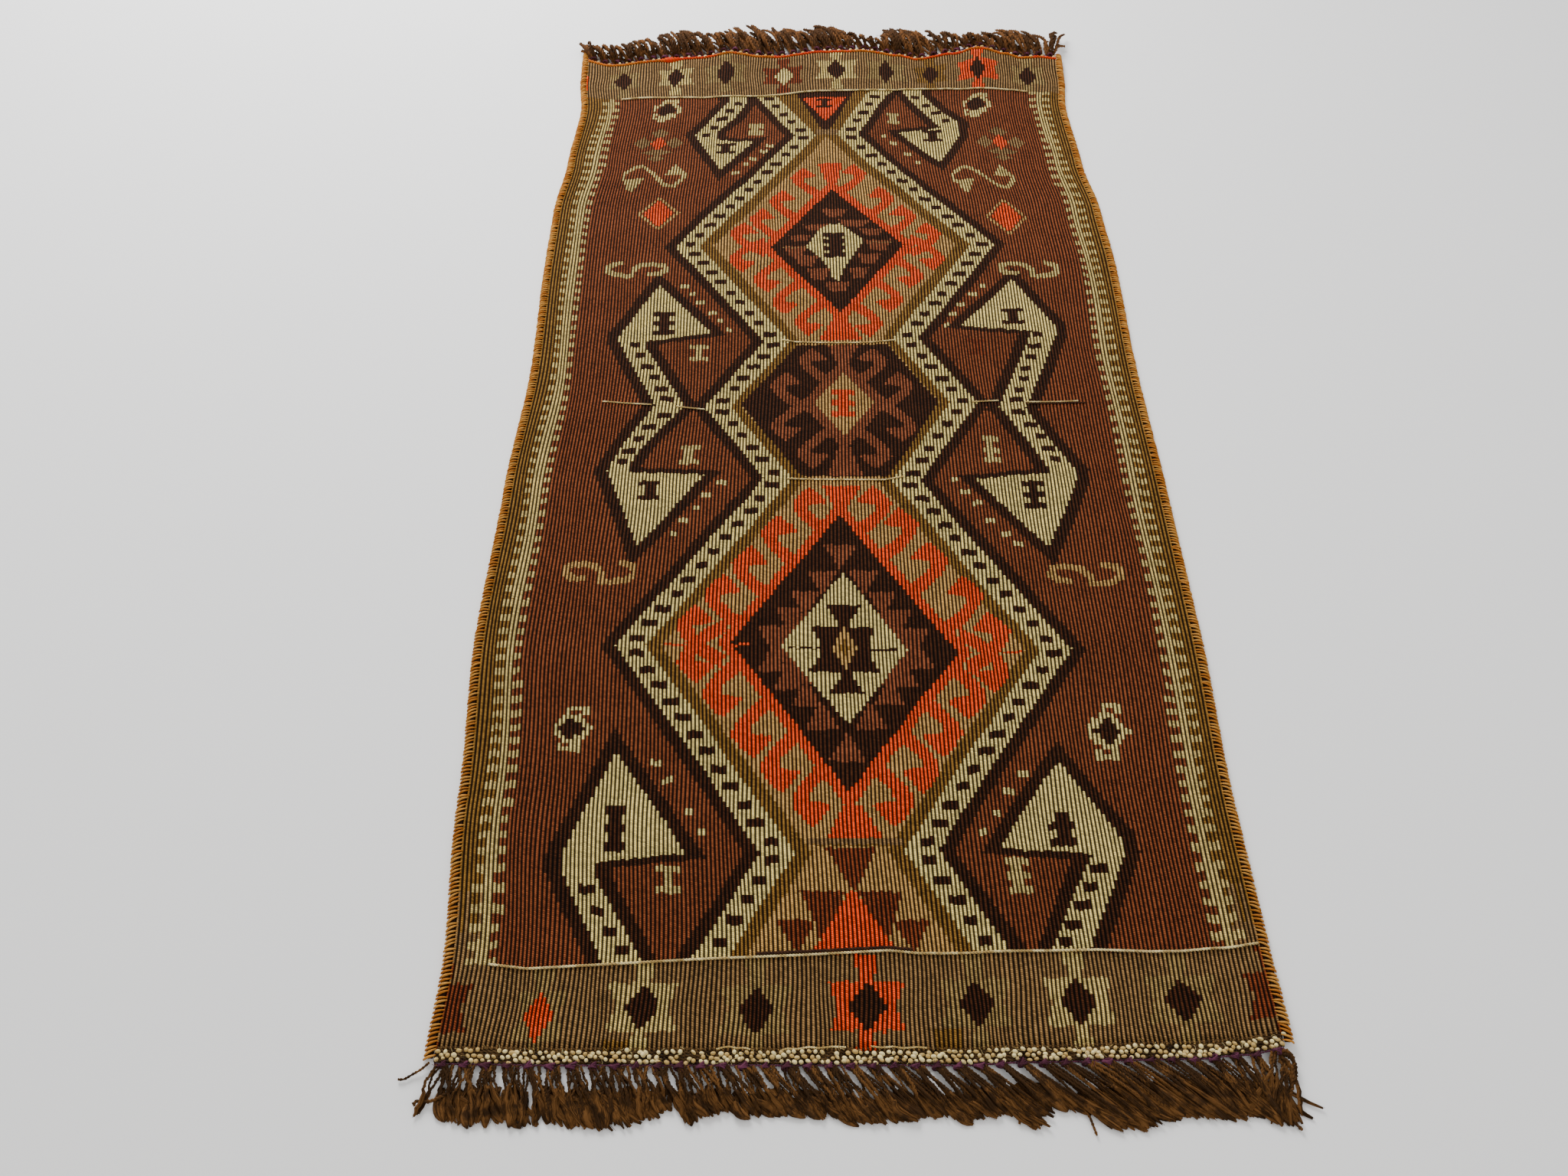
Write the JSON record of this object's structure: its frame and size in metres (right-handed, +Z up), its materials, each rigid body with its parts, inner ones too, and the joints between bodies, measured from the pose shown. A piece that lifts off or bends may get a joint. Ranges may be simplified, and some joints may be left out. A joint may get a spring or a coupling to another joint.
{
  "type": "flat-woven kilim rug",
  "caption": "Small flat-woven kilim rug lying flat, with raised warp ribs, overcast side bindings, twined end headings and a knotted fringe at each end.",
  "frame": {"origin": "on the floor, under the centre of the whole rug's box", "axes": "+Z up from the floor, +Y along the rug to its far end, +X across it to the right"},
  "size_m": [0.6132, 1.2724, 0.0132],
  "materials": {
    "woven_wool": "matt wool, madder brown ground with black, ivory, khaki and orange motifs",
    "overcast_yarn": "matt ochre wool yarn",
    "ivory_twining": "matt ivory wool yarn",
    "red_twining": "matt red and ivory wool yarn",
    "warp_yarn": "matt brown goat-hair warp ends knotted with purple thread"
  },
  "bodies": {
    "root": {"kilim_cloth": "woven_wool", "binding_left": "overcast_yarn", "binding_right": "overcast_yarn", "heading_near": "ivory_twining", "heading_far": "red_twining", "twined_line_near": "ivory_twining", "twined_line_far": "ivory_twining", "fringe_near": "warp_yarn", "fringe_far": "warp_yarn"}
  },
  "joints": []
}
